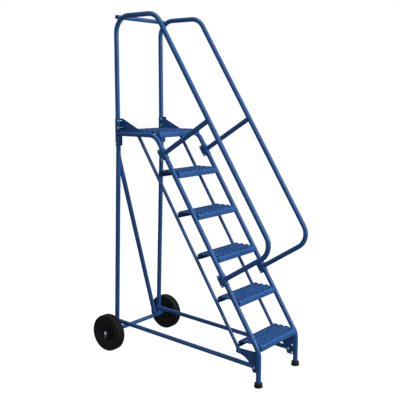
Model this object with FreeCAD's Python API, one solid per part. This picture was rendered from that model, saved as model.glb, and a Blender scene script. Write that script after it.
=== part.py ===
"""Rolling warehouse ladder with five steps, a platform and two rear wheels, in millimetres.

X runs across the ladder, Y runs from the climber towards the platform, and Z is up.  The pieces
are laid out from a datum at the middle of the front legs on the floor, and are moved at the end
so that the row's origin is the middle of the footprint on the floor.
"left" is the climber's left hand, at -X.
"""
import FreeCAD, Part
import math
import os

Vector = FreeCAD.Vector

# ---------------------------------------------------------------- driving dimensions
riser = 254.0                   # height from one tread to the next
step_count = 5
stair_angle = math.radians(57.9)
rail_x = 226.0                  # centre of the side rails and handrails from the middle

rail_od = 31.75
stringer_od = 22.2
crosswise_od = 28.6             # base rails, axle tube and guard bar
tube_wall = 2.0
fit_gap = 0.1                   # between pieces that slide over each other or are bolted together
weld_gap = 0.1                  # between a coped tube end and the piece it is welded to

leg_bend_z = 219.4              # where the front leg turns into the stair slope
leg_bend_radius = 110.0
rail_top_z = 1524.0 - rail_od / 2
rail_top_radius = 95.0
upright_y = 1141.0
stringer_offset = 137.0         # rear stringer behind the side rail, square to the slope
stringer_x = 216.6
stringer_foot_z = 190.0
stringer_head_z = 1500.0

handrail_z = 2279.0             # centre of the top run
handrail_offset = 418.2         # handrail in front of the side rail, square to the slope
handrail_bends = (108.0, 108.0, 101.6)  # rear top, front top and front bottom bend
upright_foot_z = 1499.0

tread_ahead = 34.7              # tread nose ahead of the side rail's centre line at tread height
tread_depth = 172.0
platform_depth = 352.0
tread_sheet = 2.0
tread_lip = 31.0
tread_return = 12.0
tread_corner = 4.0
tread_tab = 2.0                 # tab that closes each front corner of a tread beside the rail
tread_tab_depth = 36.0

strap_sheet = 3.0               # U-shaped straps that hold the handrails to the side rails
strap_ear = 33.0                # how far a strap's ears pass the tube's centre
strap_bolt_at = 21.2            # bolt centre from the tube's centre, on the open side
saddle_length = 80.0
saddle_bolt_spacing = 64.0
upper_saddle_at = 1385.0        # along the slope from the leg bend
lower_saddle_at = 487.5

socket_bottom_z = 1427.0        # long strap at the rear of the platform
socket_top_z = 1610.0
socket_bolt_z = (1549.0, 1595.0)
leg_bolt_z = 1443.0
notch_bottom_z = 1490.0
notch_top_z = 1530.0
notch_ear = 14.0                # how far the ears pass the tube's centre beside the notch
lower_ear = 21.0                # and below it

platform_gusset_top_z = 1608.0
platform_gusset_front_y = 934.5

front_gusset_sheet = 3.0
front_gusset_top_z = 211.0
front_gusset_low_z = 76.0
front_gusset_front_y = -2.0
front_gusset_toe_y = 56.0
front_gusset_heel_y = 178.0
front_gusset_heel_z = 180.0
front_gusset_hollow = (92.0, 146.0)     # y and z of a point on its hollow lower edge
front_gusset_corner = 12.0
front_gusset_hole_z = (87.8, 139.0)
front_gusset_hole_y = 15.5
front_gusset_hole_radius = 4.5

axle_y = 1182.0
wheel_radius = 127.0            # 10 inch wheel
wheel_x = 310.0
wheel_width = 60.0
axle_radius = 7.94              # 5/8 inch shaft
axle_tube_end = 274.0
axle_end = 352.0
running_gap = 0.06

base_x = 208.5                  # centre of the base rail, in the plane of the front gusset
base_front = (20.0, 114.8)      # y and z of the base rail's two ends
base_rear = (1178.0, 185.2)
base_slit_y = 82.0              # the front end is slit this far back to straddle the gusset
base_bolt_y = 33.0

rear_leg_top = (1137.0, 1491.0)
brace_top_z = 1359.0
brace_foot_x = 183.5

foot_floor = 6.0
foot_height = 27.0
foot_radius = 27.0

bolt_radius = 3.97              # 5/16 inch
bolt_hole_radius = 4.3
hex_flats = 12.7
bolt_head = 5.3
nut_height = 6.8
thread_beyond = 4.0
washer_radius = 12.5
washer_thickness = 2.4

# ---------------------------------------------------------------- directions and places
rail_r = rail_od / 2
crosswise_r = crosswise_od / 2
across = Vector(1, 0, 0)
up = Vector(0, 0, 1)
slope = Vector(0, math.cos(stair_angle), math.sin(stair_angle))
slope_front = Vector(0, -math.sin(stair_angle), math.cos(stair_angle))
pieces = {}


def on_slope(along, ahead, x=-rail_x):
    """A point measured along the stair slope from the leg bend, and square to it."""
    return Vector(x, 0, leg_bend_z) + slope * along + slope_front * ahead


def slope_y(z, ahead=0.0):
    """Where a line parallel to the side rail, `ahead` in front of it, has height z."""
    return (z - leg_bend_z) / math.tan(stair_angle) - ahead / math.sin(stair_angle)


def keep_both(name, left_shape):
    """Store a left-hand piece and its mirror image."""
    pieces["left_" + name] = left_shape
    pieces["right_" + name] = left_shape.mirror(Vector(0, 0, 0), across)


def both_sides(solids):
    """A group of identical pieces on the left, with the same group on the right."""
    mirrored = [solid.mirror(Vector(0, 0, 0), across) for solid in solids]
    return Part.makeCompound(list(solids) + mirrored)


# ---------------------------------------------------------------- shapes
def rod(start, end, radius):
    return Part.makeCylinder(radius, (end - start).Length, start, end - start)


def bent_wire(points, radius):
    """Straight runs through the points, joined by tangent arcs of one radius (or one for each)."""
    radii = radius if isinstance(radius, (list, tuple)) else [radius] * (len(points) - 2)
    edges = []
    last = points[0]
    for before, corner, after, bend in zip(points, points[1:], points[2:], radii):
        inward = (before - corner).normalize()
        outward = (after - corner).normalize()
        half_turn = (math.pi - inward.getAngle(outward)) / 2
        setback = bend * math.tan(half_turn)
        middle = (inward + outward).normalize()
        arc_start = corner + inward * setback
        arc_end = corner + outward * setback
        arc_middle = corner + middle * (bend / math.cos(half_turn) - bend)
        edges.append(Part.LineSegment(last, arc_start).toShape())
        edges.append(Part.Arc(arc_start, arc_middle, arc_end).toShape())
        last = arc_end
    edges.append(Part.LineSegment(last, points[-1]).toShape())
    return Part.Wire(edges)


def swept_rod(points, bend_radius, radius):
    path = bent_wire(points, bend_radius)
    ring = Part.Wire(Part.makeCircle(radius, points[0], points[1] - points[0]))
    return path.makePipeShell([ring], True, False)


def tube(points, od, bend_radius=0.0):
    """A bent or straight round tube, open at its ends."""
    if len(points) == 2:
        outer = rod(points[0], points[1], od / 2)
        inner = rod(points[0], points[1], od / 2 - tube_wall)
    else:
        outer = swept_rod(points, bend_radius, od / 2)
        inner = swept_rod(points, bend_radius, od / 2 - tube_wall)
    return outer.cut(inner)


def coped(piece, *host_lines):
    """Cut a tube's end to fit round other tubes, each given as start, end and radius."""
    for start, end, radius in host_lines:
        piece = piece.cut(rod(start, end, radius + weld_gap))
    return biggest(piece)


def biggest(shape):
    return max(shape.Solids, key=lambda solid: solid.Volume)


def plate(corners, thickness, x):
    """A flat plate square to X, from x to x + thickness, through (y, z) corners."""
    outline = Part.makePolygon([Vector(x, y, z) for y, z in corners + corners[:1]])
    return Part.Face(outline).extrude(Vector(thickness, 0, 0))


def strap(centre, along, open_side, length, hole_offsets=()):
    """A U-shaped strap round a side tube: a half-round back and two flat ears with bolt holes."""
    inner_r = rail_r + fit_gap
    outer_r = inner_r + strap_sheet
    foot = centre - along * (length / 2)
    end = centre + along * (length / 2)
    shells = []
    for radius in (outer_r, inner_r):
        corner_a = foot - across * radius
        corner_b = corner_a + open_side * strap_ear
        corner_c = corner_b + across * (2 * radius)
        corner_d = foot + across * radius
        ears = Part.Face(Part.makePolygon([corner_a, corner_b, corner_c, corner_d, corner_a]))
        shells.append(rod(foot, end, radius).fuse(ears.extrude(end - foot)))
    body = shells[0].cut(shells[1]).removeSplitter()
    for offset in hole_offsets:
        hole = centre + along * offset + open_side * strap_bolt_at
        body = body.cut(rod(hole - across * 40, hole + across * 40, bolt_hole_radius))
    return body


def hexagon(start, direction, height, flats=hex_flats):
    """A hexagonal prism standing on start."""
    side = up if abs(direction.dot(up)) < 0.9 else across
    side = (side - direction * side.dot(direction)).normalize()
    other = direction.cross(side)
    corner_r = flats / math.sqrt(3)
    angles = [math.radians(60 * k) for k in range(7)]
    corners = [start + side * (corner_r * math.cos(a)) + other * (corner_r * math.sin(a)) for a in angles]
    return Part.Face(Part.makePolygon(corners)).extrude(direction * height)


def hex_bolt(face, direction, grip):
    """A bolt whose head stands on the face and whose shank runs along direction past the nut."""
    shank_end = face + direction * (grip + nut_height + thread_beyond)
    return hexagon(face, direction * -1, bolt_head).fuse(rod(face, shank_end, bolt_radius))


def hex_nut(face, direction):
    """A nut that stands on the face, with its bore clear of the bolt."""
    bore = rod(face - direction, face + direction * (nut_height + 1), bolt_radius + running_gap)
    return hexagon(face, direction, nut_height).cut(bore)


def ring(centre, direction, outer_r, inner_r, height):
    end = centre + direction * height
    return rod(centre, end, outer_r).cut(rod(centre, end, inner_r))


def turned(outline, x):
    """A solid turned about the wheel axle from (x, radius) corners."""
    points = [Vector(x + dx, axle_y, wheel_radius + r) for dx, r in outline + outline[:1]]
    face = Part.Face(Part.makePolygon(points))
    return face.revolve(Vector(0, axle_y, wheel_radius), across, 360)


# ---------------------------------------------------------------- step unit
upright_line = (Vector(-rail_x, upright_y, 1300), Vector(-rail_x, upright_y, 1800), rail_r + 0.2)
rail_corner_y = slope_y(rail_top_z)
rail_points = [
    Vector(-rail_x, 0, foot_floor),
    Vector(-rail_x, 0, leg_bend_z),
    Vector(-rail_x, rail_corner_y, rail_top_z),
    Vector(-rail_x, upright_y, rail_top_z),
]
front_gusset_x = -rail_x + rail_r + fit_gap      # outer face of the front gusset plate


def make_side_rail():
    return coped(tube(rail_points, rail_od, [leg_bend_radius, rail_top_radius]), upright_line)


def make_rear_stringer():
    """A straight tube, cut level at both ends and notched to lie against the front gusset."""
    along_foot = (stringer_foot_z - leg_bend_z) / math.sin(stair_angle)
    along_head = (stringer_head_z - leg_bend_z) / math.sin(stair_angle)
    overrun = 120.0
    start = on_slope(along_foot - overrun, -stringer_offset, -stringer_x)
    end = on_slope(along_head + overrun, -stringer_offset, -stringer_x)
    piece = tube([start, end], stringer_od)
    band_corner = Vector(-stringer_x - stringer_od, -500, stringer_foot_z)
    band = Part.makeBox(2 * stringer_od, 3000, stringer_head_z - stringer_foot_z, band_corner)
    piece = piece.common(band)
    notch_corner = Vector(front_gusset_x - weld_gap, -500, stringer_foot_z - 1)
    notch = Part.makeBox(stringer_od, 3000, leg_bend_z + 1 - stringer_foot_z, notch_corner)
    rail_run = (Vector(-rail_x, 800, rail_top_z), Vector(-rail_x, upright_y, rail_top_z), rail_r)
    return coped(piece.cut(notch), rail_run)


def make_front_gusset():
    """The plate inside the front leg that ties it to the rear stringer and the base rail.

    Its lower edge is a hollow curve from the toe, low on the leg, up to the heel at the stringer.
    """
    x = front_gusset_x
    top = front_gusset_top_z
    low = front_gusset_low_z
    corner = front_gusset_corner
    toe_y, heel_y = front_gusset_toe_y, front_gusset_heel_y
    top_front = Vector(x, front_gusset_front_y, top)
    top_rear = Vector(x, heel_y, top)
    heel = Vector(x, heel_y, front_gusset_heel_z)
    hollow_end = heel + Vector(0, -corner, -3)
    hollow_middle = Vector(x, *front_gusset_hollow)
    toe_top = Vector(x, toe_y, low + corner)
    hollow_start = toe_top + Vector(0, 4, corner)
    toe_bottom = Vector(x, toe_y - corner, low)
    arc_inset = corner * (1 - math.sqrt(0.5))
    toe_middle = Vector(x, toe_y - arc_inset, low + arc_inset)
    bottom_front = Vector(x, front_gusset_front_y, low)
    outline = [
        Part.LineSegment(top_front, top_rear),
        Part.LineSegment(top_rear, heel),
        Part.LineSegment(heel, hollow_end),
        Part.Arc(hollow_end, hollow_middle, hollow_start),
        Part.LineSegment(hollow_start, toe_top),
        Part.Arc(toe_top, toe_middle, toe_bottom),
        Part.LineSegment(toe_bottom, bottom_front),
        Part.LineSegment(bottom_front, top_front),
    ]
    wire = Part.Wire([curve.toShape() for curve in outline])
    body = Part.Face(wire).extrude(across * front_gusset_sheet)
    holes = [(front_gusset_hole_y, z, front_gusset_hole_radius) for z in front_gusset_hole_z]
    holes.append((base_bolt_y, base_z(base_bolt_y), bolt_hole_radius))
    for y, z, radius in holes:
        hole = Vector(x, y, z)
        body = body.cut(rod(hole - across * 10, hole + across * 10, radius))
    return body


def tread_section(front_y, top_z, depth):
    """The bent sheet of a tread seen from its end: top, front lip, rear flange and returns."""
    sheet, lip, inner = tread_sheet, tread_lip, tread_return
    rear_y = front_y + depth
    return [
        (front_y, top_z), (rear_y, top_z), (rear_y, top_z - lip), (rear_y - inner, top_z - lip),
        (rear_y - inner, top_z - lip + sheet), (rear_y - sheet, top_z - lip + sheet),
        (rear_y - sheet, top_z - sheet), (front_y + sheet, top_z - sheet),
        (front_y + sheet, top_z - lip + sheet), (front_y + inner, top_z - lip + sheet),
        (front_y + inner, top_z - lip), (front_y, top_z - lip),
    ]


def make_tread(front_y, top_z, depth):
    """A bent channel with its open side down, and a tab across each front corner."""
    half_width = rail_x - rail_r - fit_gap
    body = plate(tread_section(front_y, top_z, depth), 2 * half_width, -half_width)
    for tab_x in (-half_width, half_width - tread_tab):
        tab_corner = Vector(tab_x, front_y, top_z - tread_lip)
        body = body.fuse(Part.makeBox(tread_tab, tread_tab_depth, tread_lip, tab_corner))
    body = body.removeSplitter()
    nose = [e for e in body.Edges if is_nose(e, front_y, top_z)]
    return body.makeFillet(tread_corner, nose)


def is_nose(edge, front_y, top_z):
    middle = edge.CenterOfMass
    return abs(middle.y - front_y) < 0.01 and abs(middle.z - top_z) < 0.01 and edge.Length > 100


def tread_front(top_z):
    return slope_y(top_z) - tread_ahead


def make_step(number):
    """A step, with its ends notched where the rear stringers pass it."""
    top_z = riser * number
    body = make_tread(tread_front(top_z), top_z, tread_depth)
    for x in (-stringer_x, stringer_x):
        line_start = on_slope(-200, -stringer_offset, x)
        line_end = on_slope(2000, -stringer_offset, x)
        body = coped(body, (line_start, line_end, stringer_od / 2))
    return body


def make_platform_tread():
    """The top tread, notched at its rear corners for the handrail sockets."""
    top_z = riser * (step_count + 1)
    piece = make_tread(tread_front(top_z), top_z, platform_depth)
    notch_size = 100.0
    notch_y = upright_y - strap_ear - 2
    notch_x = rail_x - rail_r - fit_gap - strap_sheet - 1
    for low_x in (notch_x, -notch_x - notch_size):
        corner = Vector(low_x, notch_y, top_z - notch_size / 2)
        piece = piece.cut(Part.makeBox(notch_size, notch_size, notch_size, corner))
    return biggest(piece)


def make_platform_gusset():
    """The stiffening plate that stands on the platform's edge, in line with the socket's inner ear."""
    rear_y = upright_y - strap_ear - weld_gap
    foot_z = riser * (step_count + 1) + weld_gap
    corners = [(platform_gusset_front_y, foot_z), (rear_y, foot_z), (rear_y, platform_gusset_top_z)]
    return plate(corners, strap_sheet, front_gusset_x)


def make_handrail_socket():
    """The long strap that holds the upright above the side rail and the rear leg below it."""
    middle_z = (socket_bottom_z + socket_top_z) / 2
    offsets = [z - middle_z for z in socket_bolt_z]
    centre = Vector(-rail_x, upright_y, middle_z)
    body = strap(centre, up, Vector(0, -1, 0), socket_top_z - socket_bottom_z, offsets)
    for low, high, ear in ((socket_bottom_z - 1, notch_bottom_z, lower_ear),
                           (notch_bottom_z, notch_top_z, notch_ear)):
        corner = Vector(-rail_x - 40, upright_y - ear - 40, low)
        body = body.cut(Part.makeBox(80, 40, high - low, corner))
    leg_hole = Vector(-rail_x, leg_y(leg_bolt_z), leg_bolt_z)
    return body.cut(rod(leg_hole - across * 40, leg_hole + across * 40, bolt_hole_radius))


# ---------------------------------------------------------------- handrails
handrail_points = [
    Vector(-rail_x, upright_y, upright_foot_z),
    Vector(-rail_x, upright_y, handrail_z),
    Vector(-rail_x, slope_y(handrail_z, handrail_offset), handrail_z),
    on_slope(lower_saddle_at, handrail_offset),
    on_slope(lower_saddle_at, 0),
]


def saddle_line(along):
    """The strap's half-round back, as a host line for the tube that is welded to it."""
    radius = rail_r + fit_gap + strap_sheet
    return on_slope(along - 100, 0), on_slope(along + 100, 0), radius


def make_handrail():
    body = coped(tube(handrail_points, rail_od, handrail_bends), saddle_line(lower_saddle_at))
    bolt_start, bolt_end = guard_bolt_line()
    return body.cut(rod(bolt_start, bolt_end, bolt_hole_radius))


def make_handrail_strut():
    ends = [on_slope(upper_saddle_at, 0), on_slope(upper_saddle_at, handrail_offset)]
    host = (on_slope(upper_saddle_at - 100, handrail_offset),
            on_slope(upper_saddle_at + 100, handrail_offset), rail_r)
    return coped(tube(ends, rail_od), saddle_line(upper_saddle_at), host)


def make_saddle(along):
    offsets = (-saddle_bolt_spacing / 2, saddle_bolt_spacing / 2)
    return strap(on_slope(along, 0), slope, slope_front * -1, saddle_length, offsets)


# The guard bar lies on the outside of both rear bends, about half way round them.
guard_bar_turn = math.radians(48)
bend_out = Vector(0, math.cos(guard_bar_turn), math.sin(guard_bar_turn))
bend_centre = Vector(-rail_x, upright_y - handrail_bends[0], handrail_z - handrail_bends[0])
bend_tube = bend_centre + bend_out * handrail_bends[0]
guard_bar_centre = bend_tube + bend_out * (rail_r + crosswise_r + fit_gap)
guard_bar_half_length = 238.0


def guard_bolt_line():
    inner = bend_tube - bend_out * (rail_r + 10)
    return inner, guard_bar_centre + bend_out * 40


def make_rear_guard_bar():
    start = Vector(-guard_bar_half_length, guard_bar_centre.y, guard_bar_centre.z)
    end = Vector(guard_bar_half_length, guard_bar_centre.y, guard_bar_centre.z)
    body = tube([start, end], crosswise_od)
    bolt_start, bolt_end = guard_bolt_line()
    for side in (1, -1):
        points = [Vector(p.x * side, p.y, p.z) for p in (bolt_start, bolt_end)]
        body = body.cut(rod(points[0], points[1], bolt_hole_radius))
    return body


# ---------------------------------------------------------------- rear frame
axle_line = (Vector(-400, axle_y, wheel_radius), Vector(400, axle_y, wheel_radius), crosswise_r)


def leg_y(z):
    top_y, top_z = rear_leg_top
    return top_y + (top_z - z) * (axle_y - top_y) / (top_z - wheel_radius)


def leg_line():
    top_y, top_z = rear_leg_top
    return Vector(-rail_x, top_y, top_z), Vector(-rail_x, axle_y, wheel_radius), rail_r


def base_z(y):
    front_y, front_z = base_front
    rear_y, rear_z = base_rear
    return front_z + (y - front_y) * (rear_z - front_z) / (rear_y - front_y)


def make_rear_leg():
    start, end, _ = leg_line()
    body = coped(tube([start, end], rail_od), axle_line)
    centre = Vector(-rail_x, leg_y(leg_bolt_z), leg_bolt_z)
    return body.cut(rod(centre - across * 30, centre + across * 30, bolt_hole_radius))


def make_rear_brace():
    """The diagonal from the left leg's top to the right end of the axle tube."""
    start = Vector(-rail_x, leg_y(brace_top_z), brace_top_z)
    end = Vector(brace_foot_x, axle_y, wheel_radius)
    return coped(tube([start, end], rail_od), leg_line(), axle_line)


def make_axle_tube():
    return tube([Vector(-axle_tube_end, axle_y, wheel_radius), Vector(axle_tube_end, axle_y, wheel_radius)],
                crosswise_od)


def make_axle_shaft():
    """The shaft runs right through the axle tube and both wheels, with a hole for each cotter pin."""
    body = rod(Vector(-axle_end, axle_y, wheel_radius), Vector(axle_end, axle_y, wheel_radius), axle_radius)
    for side in (-1, 1):
        centre = Vector(side * cotter_x, axle_y, wheel_radius)
        body = body.cut(rod(centre - up * 20, centre + up * 20, cotter_radius + fit_gap))
    return body


def make_base_rail():
    """A round tube whose slit front end straddles the gusset, and whose rear end is cut round the leg."""
    start = Vector(-base_x, *base_front)
    end = Vector(-base_x, *base_rear)
    body = coped(tube([start, end], crosswise_od), leg_line())
    slit_width = front_gusset_sheet + 2 * fit_gap
    slit_corner = Vector(front_gusset_x - fit_gap, base_front[0] - 1, 0)
    body = body.cut(Part.makeBox(slit_width, base_slit_y - base_front[0], 300, slit_corner))
    hole = Vector(-base_x, base_bolt_y, base_z(base_bolt_y))
    return body.cut(rod(hole - across * 30, hole + across * 30, bolt_hole_radius))


def make_foot():
    """A rubber tip: a cup over the leg's end, wider at the floor."""
    floor_centre = Vector(-rail_x, 0, 0)
    flare = 2.0
    body = Part.makeCone(foot_radius, foot_radius - flare, foot_height, floor_centre, up)
    rims = [e for e in body.Edges if e.Closed]
    body = body.makeFillet(2.0, rims)
    cup = rod(Vector(-rail_x, 0, foot_floor), Vector(-rail_x, 0, foot_height + 1), rail_r + fit_gap)
    return body.cut(cup)


# ---------------------------------------------------------------- wheels
cotter_radius = 1.6
cotter_leg = 25.0               # how far a pin reaches below the shaft
half_wheel = wheel_width / 2
bush_length = wheel_width + 4.0
bush_outer_r = 12.0
hub_boss_r = 22.0
hub_ring_r = 47.0
hub_ring_half = 19.0            # the ring's face from the wheel's middle plane
rim_r = 84.0
washer_gap = 0.4
outer_washer_x = wheel_x + bush_length / 2 + washer_gap
cotter_x = outer_washer_x + washer_thickness + cotter_radius + 0.3


def make_tyre(x):
    """A solid rubber tyre with a rounded tread, three grooves and a step in each side wall."""
    crown = wheel_radius
    inner = rim_r + fit_gap
    half = half_wheel
    side = [(half - 6, inner), (half - 3, inner + 3), (half - 1, inner + 9), (half, inner + 15),
            (half - 1.2, inner + 16.2), (half - 1.2, inner + 20), (half - 1.2, crown - 8),
            (half - 3, crown - 3.5), (half - 7, crown - 0.8)]
    groove = 4.0
    tread = []
    for centre in (12.0, 0.0, -12.0):
        top = crown - 0.5 if centre else crown
        tread += [(centre + 2.5, top), (centre + 1.2, top - groove), (centre - 1.2, top - groove),
                  (centre - 2.5, top)]
    mirrored = [(-dx, r) for dx, r in reversed(side)]
    return turned(side + tread + mirrored, x)


def make_hub(x):
    """A moulded wheel centre: rim, dished web, a raised ring on the web and a boss round the bush."""
    rim_half = half_wheel - 7
    web_half = 8.0
    bore = bush_outer_r + fit_gap
    boss_end = bush_length / 2 - 0.5
    half_outline = [
        (boss_end, bore), (boss_end, hub_boss_r - 4), (boss_end - 3.5, hub_boss_r),
        (web_half + 2, hub_boss_r + 1), (web_half, hub_boss_r + 5),
        (web_half, hub_ring_r - 4), (hub_ring_half, hub_ring_r - 2), (hub_ring_half, hub_ring_r + 2),
        (web_half, hub_ring_r + 4), (web_half, rim_r - 26), (rim_half, rim_r - 4), (rim_half, rim_r),
    ]
    mirrored = [(-dx, r) for dx, r in reversed(half_outline)]
    return turned(half_outline + mirrored, x)


def make_bush(x):
    start = Vector(x - bush_length / 2, axle_y, wheel_radius)
    return ring(start, across, bush_outer_r, axle_radius + running_gap, bush_length)


def make_wheel(side):
    name = "left" if side < 0 else "right"
    pieces[name + "_tyre"] = make_tyre(side * wheel_x)
    pieces[name + "_hub"] = make_hub(side * wheel_x)
    pieces[name + "_bush"] = make_bush(side * wheel_x)


def make_washers():
    inner_start = wheel_x - bush_length / 2 - washer_gap - washer_thickness
    bore = axle_radius + running_gap
    washers = []
    for start in (inner_start, outer_washer_x):
        centre = Vector(-start, axle_y, wheel_radius)
        washers.append(ring(centre, across * -1, washer_radius, bore, washer_thickness))
    return both_sides(washers)


def make_cotter_pins():
    """Each pin hangs through the shaft's end, with a round head above and a bent leg below."""
    head_z = wheel_radius + axle_radius + 2
    leg_z = wheel_radius - axle_radius - cotter_leg
    centre = Vector(-cotter_x, axle_y, 0)
    shank = rod(centre + up * leg_z, centre + up * head_z, cotter_radius)
    eye = Part.makeTorus(3.2, cotter_radius, centre + up * (head_z + 2.6), across)
    return both_sides([shank.fuse(eye)])


# ---------------------------------------------------------------- fasteners
strap_outer = rail_r + fit_gap + strap_sheet
strap_grip = 2 * strap_outer


def strap_bolt_places():
    places = []
    for along in (lower_saddle_at, upper_saddle_at):
        for half in (-0.5, 0.5):
            places.append(on_slope(along + half * saddle_bolt_spacing, -strap_bolt_at))
    return places


def bolts_and_nuts(name, places, outer, grip):
    """Bolts along X whose heads are `outer` beyond each place, and nuts at the inner side."""
    bolts = []
    nuts = []
    for place in places:
        face = place - across * outer
        bolts.append(hex_bolt(face, across, grip))
        nuts.append(hex_nut(face + across * grip, across))
    pieces[name + "_bolts"] = both_sides(bolts)
    pieces[name + "_nuts"] = both_sides(nuts)


def make_fasteners():
    bolts_and_nuts("saddle", strap_bolt_places(), strap_outer, strap_grip)
    socket_places = [Vector(-rail_x, upright_y - strap_bolt_at, z) for z in socket_bolt_z]
    bolts_and_nuts("socket", socket_places, strap_outer, strap_grip)
    leg_place = [Vector(-rail_x, leg_y(leg_bolt_z), leg_bolt_z)]
    bolts_and_nuts("rear_leg", leg_place, strap_outer, strap_grip)

    base_outer = crosswise_r + fit_gap
    base_place = [Vector(-base_x, base_bolt_y, base_z(base_bolt_y))]
    bolts_and_nuts("base_rail", base_place, base_outer, 2 * base_outer)

    head_clearance = 0.5
    head_face = bend_tube - bend_out * (rail_r + head_clearance)
    guard_grip = rail_od + crosswise_od + fit_gap + head_clearance
    pieces["guard_bar_bolts"] = both_sides([hex_bolt(head_face, bend_out, guard_grip)])
    pieces["guard_bar_nuts"] = both_sides([hex_nut(head_face + bend_out * guard_grip, bend_out)])


# ---------------------------------------------------------------- assembly
def make_all():
    keep_both("side_rail", make_side_rail())
    keep_both("rear_stringer", make_rear_stringer())
    keep_both("front_gusset", make_front_gusset())
    keep_both("platform_gusset", make_platform_gusset())
    keep_both("handrail_socket", make_handrail_socket())
    for number in range(1, step_count + 1):
        pieces["step_" + str(number)] = make_step(number)
    pieces["platform_tread"] = make_platform_tread()

    keep_both("handrail", make_handrail())
    keep_both("handrail_strut", make_handrail_strut())
    keep_both("upper_saddle", make_saddle(upper_saddle_at))
    keep_both("lower_saddle", make_saddle(lower_saddle_at))
    pieces["rear_guard_bar"] = make_rear_guard_bar()

    keep_both("rear_leg", make_rear_leg())
    pieces["rear_brace"] = make_rear_brace()
    keep_both("base_rail", make_base_rail())
    pieces["axle_tube"] = make_axle_tube()
    pieces["axle_shaft"] = make_axle_shaft()
    keep_both("foot", make_foot())

    for side in (-1, 1):
        make_wheel(side)
    pieces["axle_washers"] = make_washers()
    pieces["cotter_pins"] = make_cotter_pins()
    make_fasteners()


def origin_shift():
    """Moves the datum at the front legs to the middle of the footprint."""
    front = pieces["left_handrail"].optimalBoundingBox().YMin
    rear = axle_y + wheel_radius
    return Vector(0, -(front + rear) / 2, 0)


make_all()
shift = origin_shift()
os.makedirs("parts", exist_ok=True)
for node, shape in pieces.items():
    shape.translate(shift)
    shape.exportStep("parts/" + node + ".step")
print(len(pieces), "nodes; footprint middle is", round(-shift.y, 2), "behind the front legs")
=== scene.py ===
"""Looks of the rolling warehouse ladder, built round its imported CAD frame, in metres."""
import bpy
import math
import random
from mathutils import Matrix, Vector


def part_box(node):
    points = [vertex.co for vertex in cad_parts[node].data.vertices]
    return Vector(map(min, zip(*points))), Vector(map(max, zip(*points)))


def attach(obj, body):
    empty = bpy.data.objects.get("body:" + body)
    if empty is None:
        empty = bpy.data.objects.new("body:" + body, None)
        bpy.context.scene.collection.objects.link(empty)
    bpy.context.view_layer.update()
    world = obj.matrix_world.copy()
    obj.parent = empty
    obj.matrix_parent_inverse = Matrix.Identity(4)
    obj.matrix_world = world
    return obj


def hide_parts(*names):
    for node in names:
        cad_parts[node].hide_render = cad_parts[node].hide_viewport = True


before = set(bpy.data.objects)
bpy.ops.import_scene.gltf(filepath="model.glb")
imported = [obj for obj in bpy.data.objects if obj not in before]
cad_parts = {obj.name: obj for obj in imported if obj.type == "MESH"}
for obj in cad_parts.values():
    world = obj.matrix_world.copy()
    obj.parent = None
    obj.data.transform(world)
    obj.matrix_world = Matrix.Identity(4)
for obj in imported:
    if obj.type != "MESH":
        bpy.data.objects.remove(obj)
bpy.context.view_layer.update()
random.seed(20)

# ------------------------------------------------------------------ dimensions, all in metres
MM = 0.001
RAIL_R = 15.875 * MM
STRINGER_R = 11.1 * MM
CROSSWISE_R = 14.3 * MM
AXLE_R = 7.94 * MM
FIT_GAP = 0.1 * MM

STAIR_ANGLE = math.radians(57.9)
RAIL_X = 226 * MM
RAIL_TOP_Z = 1524 * MM - RAIL_R
LEG_BEND_Z = 219.4 * MM
STRINGER_X = 216.6 * MM
STRINGER_OFFSET = 137 * MM
STRINGER_WELD_TOP = 1500 * MM
HANDRAIL_OFFSET = 418.2 * MM
HANDRAIL_BEND = 108 * MM
GUARD_BAR_TURN = math.radians(48)
REAR_LEG_TOP_Y = 1137 * MM
REAR_LEG_TOP_Z = 1491 * MM
BASE_X = 208.5 * MM
BRACE_TOP_Z = 1359 * MM
BRACE_FOOT_X = 183.5 * MM

STRAP_SHEET = 3 * MM
STRAP_OUTER = RAIL_R + FIT_GAP + STRAP_SHEET
STRAP_EAR = 33 * MM
STRAP_BOLT_AT = 21.2 * MM
SADDLE_LENGTH = 80 * MM
SADDLE_BOLT_SPACING = 64 * MM
UPPER_SADDLE_AT = 1385 * MM
LOWER_SADDLE_AT = 487.5 * MM
SOCKET_BOLT_Z = (1549 * MM, 1595 * MM)
LEG_BOLT_Z = 1443 * MM
NOTCH_Z = (1490 * MM, 1530 * MM)
NOTCH_EAR = 14 * MM
LOWER_EAR = 21 * MM

TREAD_SHEET = 2 * MM
TREAD_LIP = 31 * MM
TREAD_RETURN = 12 * MM
TREAD_BEND = 3 * MM
TREAD_TAB_DEPTH = 36 * MM
NOSE_RADIUS = 5.5 * MM
FIRST_ROW = 24 * MM
LAST_ROW = 22 * MM
STEP_ROWS = 4
PLATFORM_ROWS = 8
RIB_COLUMNS = 15
RIB_PITCH_X = 28 * MM
RIB_HALF_WIDTH = 7 * MM
RIB_TOP_HALF_WIDTH = 5 * MM
RIB_HALF_LENGTH = 19 * MM
RIB_RISE = 8.5 * MM
RIB_STEPS = 16
RIB_RAMP = 0.26
RIB_TOOTH = 0.9 * MM
RIB_TROUGH = 1.0 * MM
NO_LIMIT = 1.0

BOLT_R = 3.97 * MM
HEX_FLATS = 12.7 * MM
HEX_CROWN = HEX_FLATS / 2 * 0.94
HEX_CORNER_SLOPE = math.tan(math.radians(28))
BOLT_HEAD = 5.3 * MM
NUT_HEIGHT = 6.8 * MM
THREAD_BEYOND = 4 * MM
THREAD_PITCH = 1.4 * MM
THREAD_DEPTH = 0.55 * MM
THREAD_FROM_SHARE = 0.6
BORE_CLEARANCE = 0.06 * MM
WASHER_R = 12.5 * MM
WASHER_THICKNESS = 2.4 * MM

WELD_R = 2.0 * MM
WELD_POINTS = 72

# degrees: a flatter edge is shaded smooth
PLATE_SHARP = 35.0
TURNED_SHARP = 40.0
SHEET_SHARP = 50.0
ROUND_SHARP = 60.0

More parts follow.
